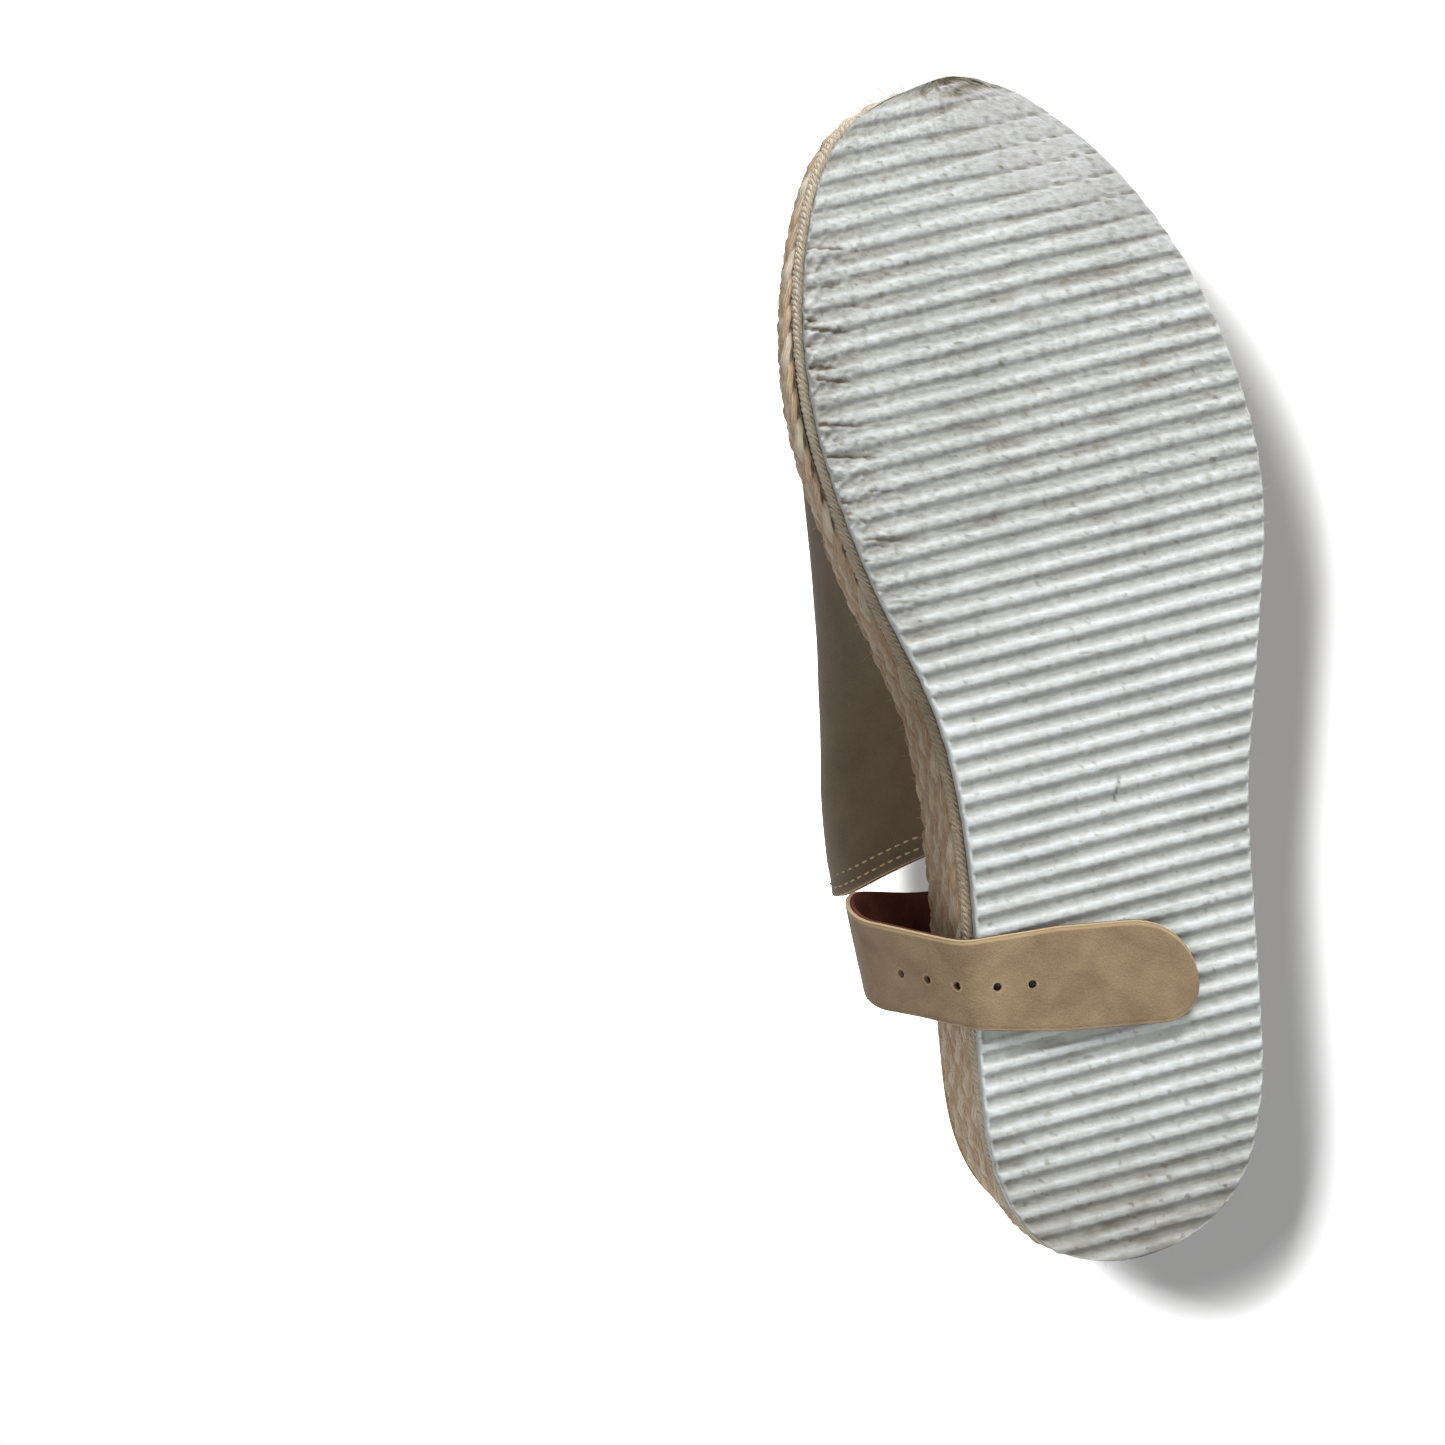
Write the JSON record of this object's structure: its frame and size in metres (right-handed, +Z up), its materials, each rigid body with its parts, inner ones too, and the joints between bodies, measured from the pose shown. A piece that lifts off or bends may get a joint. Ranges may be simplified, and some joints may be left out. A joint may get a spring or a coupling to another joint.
{
  "type": "wedge sandal",
  "caption": "Left-foot wedge sandal: ribbed outsole, jute-wrapped wedge, padded footbed, leather vamp and heel cup, unfastened instep strap folded under the sole.",
  "frame": {"origin": "on the surface that the sandal stands on, under the middle of its bounding box", "axes": "+Z up, the toe points to -Y and the heel to +Y, +X is the outer (buckle) side of the foot and -X the inner side"},
  "size_m": [0.1004, 0.2627, 0.1067],
  "materials": {
    "crepe": "matt ribbed crepe sheet, worn and scuffed",
    "cork": "moulded cork",
    "jute": "braided natural jute",
    "fibreboard": "matt fibreboard",
    "foam": "latex foam",
    "sock_leather": "smooth dark red leather",
    "nubuck": "tan nubuck",
    "lining_leather": "orange-brown lining leather",
    "buckle_metal": "antiqued, slightly worn"
  },
  "bodies": {
    "sandal": {"outsole": "crepe", "wedge_core": "cork", "jute_braid_1": "jute", "jute_braid_2": "jute", "jute_braid_3": "jute", "jute_braid_4": "jute", "jute_braid_5": "jute", "jute_braid_6": "jute", "insole_board": "fibreboard", "footbed_foam": "foam", "sock_lining": "sock_leather", "vamp_outer": "nubuck", "vamp_lining": "lining_leather", "counter_outer": "nubuck", "counter_stiffener": "fibreboard", "counter_lining": "lining_leather", "strap_root_outer": "nubuck", "strap_root_lining": "lining_leather", "buckle_tab_outer": "nubuck", "buckle_tab_lining": "lining_leather", "keeper_loop": "nubuck"},
    "strap_1": {"strap_1_outer": "nubuck", "strap_1_lining": "lining_leather"},
    "strap_2": {"strap_2_outer": "nubuck", "strap_2_lining": "lining_leather"},
    "strap_3": {"strap_3_outer": "nubuck", "strap_3_lining": "lining_leather"},
    "strap_4": {"strap_4_outer": "nubuck", "strap_4_lining": "lining_leather"},
    "strap_5": {"strap_5_outer": "nubuck", "strap_5_lining": "lining_leather"},
    "strap_6": {"strap_6_outer": "nubuck", "strap_6_lining": "lining_leather"},
    "buckle": {"buckle_frame": "buckle_metal"},
    "prong": {"buckle_prong": "buckle_metal"}
  },
  "joints": [
    {"name": "strap_swing", "type": "hinge", "parent": "sandal", "child": "strap_1", "pos_m": [-0.03136, 0.0655, 0.0502], "axis": [0, 1, 0], "range_deg": [0, 100]},
    {"name": "strap_unroll", "type": "hinge", "parent": "strap_1", "child": "strap_2", "pos_m": [-0.04376, 0.06252, 0.044], "axis": [0, 1, 0], "range_deg": [0, 54]},
    {"name": "strap_unroll_3", "type": "hinge", "parent": "strap_2", "child": "strap_3", "pos_m": [-0.04931, 0.061, 0.029], "axis": [0, 1, 0], "range_deg": [0, 54]},
    {"name": "strap_unroll_4", "type": "hinge", "parent": "strap_3", "child": "strap_4", "pos_m": [-0.04346, 0.06239, 0.014], "axis": [0, 1, 0], "range_deg": [0, 54]},
    {"name": "strap_unroll_5", "type": "hinge", "parent": "strap_4", "child": "strap_5", "pos_m": [-0.03136, 0.06554, 0.0012], "axis": [0, 1, 0], "range_deg": [0, 54]},
    {"name": "strap_unroll_6", "type": "hinge", "parent": "strap_5", "child": "strap_6", "pos_m": [-0.00506, 0.06759, 0.0012], "axis": [0, 1, 0], "range_deg": [0, 54]},
    {"name": "buckle_flip", "type": "hinge", "parent": "sandal", "child": "buckle", "pos_m": [0.02845, 0.056, 0.09243], "axis": [0, -1, 0], "range_deg": [0, 140]},
    {"name": "prong_lift", "type": "hinge", "parent": "buckle", "child": "prong", "pos_m": [0.02845, 0.056, 0.09243], "axis": [0, -1, 0], "range_deg": [0, 100]}
  ],
  "couplings": [
    {"joint": "strap_unroll_3", "follows": "strap_unroll", "ratio": 1},
    {"joint": "strap_unroll_4", "follows": "strap_unroll", "ratio": 1},
    {"joint": "strap_unroll_5", "follows": "strap_unroll", "ratio": 1},
    {"joint": "strap_unroll_6", "follows": "strap_unroll", "ratio": 1}
  ]
}
